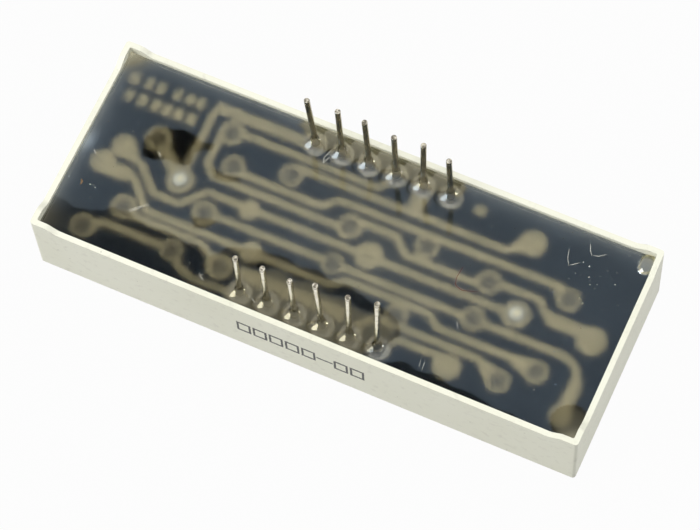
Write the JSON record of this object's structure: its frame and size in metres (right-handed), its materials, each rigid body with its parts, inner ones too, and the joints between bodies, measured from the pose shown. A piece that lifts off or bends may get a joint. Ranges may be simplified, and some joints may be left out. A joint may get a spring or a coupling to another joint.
{
  "type": "seven segment display module",
  "caption": "Multi-digit seven-segment LED display in a white moulded housing, back potted in clear resin over a copper-tracked board, with two rows of round wire pins.",
  "frame": {"origin": "centre of the front face, on the surface it lies on", "axes": "+X along the row of digits, +Y across the two pin rows, +Z from the front face to the pins"},
  "size_m": [0.0502, 0.019, 0.0145],
  "materials": {
    "white_plastic": "fine moulded satin",
    "grey_print": "matt printed ink",
    "black_board": "bare dark laminate",
    "copper": "dull bare copper foil",
    "silver_paste": "dull grey cured paste",
    "solder": "tinned, slightly dull",
    "clear_resin": "cast clear resin, slightly milky, glossy",
    "tinned_wire": "tinned round wire",
    "milky_resin": "diffusing cast resin",
    "chip": "polished chip",
    "bond_wire": "bright drawn wire"
  },
  "bodies": {
    "root": {"housing": "white_plastic", "face_print": "grey_print", "board": "black_board", "copper_back": "copper", "copper_front": "copper", "paste_vias": "silver_paste", "solder_joints": "solder", "potting": "clear_resin", "pin_1": "tinned_wire", "pin_2": "tinned_wire", "pin_3": "tinned_wire", "pin_4": "tinned_wire", "pin_5": "tinned_wire", "pin_6": "tinned_wire", "pin_7": "tinned_wire", "pin_8": "tinned_wire", "pin_9": "tinned_wire", "pin_10": "tinned_wire", "pin_11": "tinned_wire", "pin_12": "tinned_wire", "light_plug_1a": "milky_resin", "light_plug_1b": "milky_resin", "light_plug_1c": "milky_resin", "light_plug_1d": "milky_resin", "light_plug_1e": "milky_resin", "light_plug_1f": "milky_resin", "light_plug_1g": "milky_resin", "light_plug_1point": "milky_resin", "light_plug_2a": "milky_resin", "light_plug_2b": "milky_resin", "light_plug_2c": "milky_resin", "light_plug_2d": "milky_resin", "light_plug_2e": "milky_resin", "light_plug_2f": "milky_resin", "light_plug_2g": "milky_resin", "light_plug_2point": "milky_resin", "light_plug_3a": "milky_resin", "light_plug_3b": "milky_resin", "light_plug_3c": "milky_resin", "light_plug_3d": "milky_resin", "light_plug_3e": "milky_resin", "light_plug_3f": "milky_resin", "light_plug_3g": "milky_resin", "light_plug_3point": "milky_resin", "light_plug_4a": "milky_resin", "light_plug_4b": "milky_resin", "light_plug_4c": "milky_resin", "light_plug_4d": "milky_resin", "light_plug_4e": "milky_resin", "light_plug_4f": "milky_resin", "light_plug_4g": "milky_resin", "light_plug_4point": "milky_resin", "light_chips_1": "chip", "light_chips_2": "chip", "light_chips_3": "chip", "light_chips_4": "chip", "bond_wires_1": "bond_wire", "bond_wires_2": "bond_wire", "bond_wires_3": "bond_wire", "bond_wires_4": "bond_wire"}
  },
  "joints": []
}
